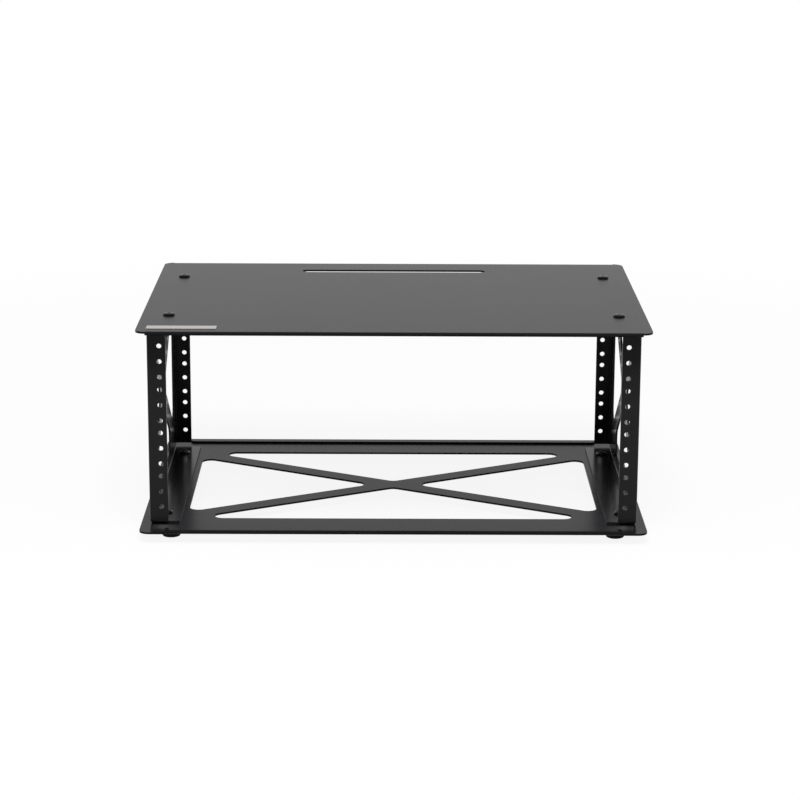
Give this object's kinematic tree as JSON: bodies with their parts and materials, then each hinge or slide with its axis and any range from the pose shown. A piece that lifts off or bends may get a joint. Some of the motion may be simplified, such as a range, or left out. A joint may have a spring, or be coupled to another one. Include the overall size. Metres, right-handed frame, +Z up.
{
  "type": "desk-top rack stand",
  "caption": "Open desk-top rack stand: two bent side frames with rack rails and X-braced sides, a hemmed top plate with a cable slot, an X-braced bottom plate and rubber feet.",
  "frame": {"origin": "On the desk, under the middle of the stand.", "axes": "X runs to the right along the rack's width, Y runs from the front to the rear, Z runs up."},
  "size_m": [0.508, 0.356, 0.2189],
  "materials": {
    "plate_coat": "satin black powder coat on steel sheet",
    "frame_coat": "satin black powder coat on steel sheet",
    "badge_metal": "fine satin, bare",
    "black_screw": "black oxide",
    "zinc_nut": "bright zinc plate",
    "black_rubber": "matt black rubber"
  },
  "bodies": {
    "root": {"bottom_plate": "plate_coat", "top_plate": "plate_coat", "left_side_frame": "frame_coat", "right_side_frame": "frame_coat", "badge": "badge_metal", "top_screw_front_left": "black_screw", "top_screw_front_right": "black_screw", "top_screw_rear_left": "black_screw", "top_screw_rear_right": "black_screw", "bottom_screw_front_left": "black_screw", "bottom_screw_front_right": "black_screw", "bottom_screw_rear_left": "black_screw", "bottom_screw_rear_right": "black_screw", "top_nut_front_left": "zinc_nut", "top_nut_front_right": "zinc_nut", "top_nut_rear_left": "zinc_nut", "top_nut_rear_right": "zinc_nut", "bottom_nut_front_left": "zinc_nut", "bottom_nut_front_right": "zinc_nut", "bottom_nut_rear_left": "zinc_nut", "bottom_nut_rear_right": "zinc_nut", "foot_front_left": "black_rubber", "foot_front_right": "black_rubber", "foot_rear_left": "black_rubber", "foot_rear_right": "black_rubber"}
  },
  "joints": []
}
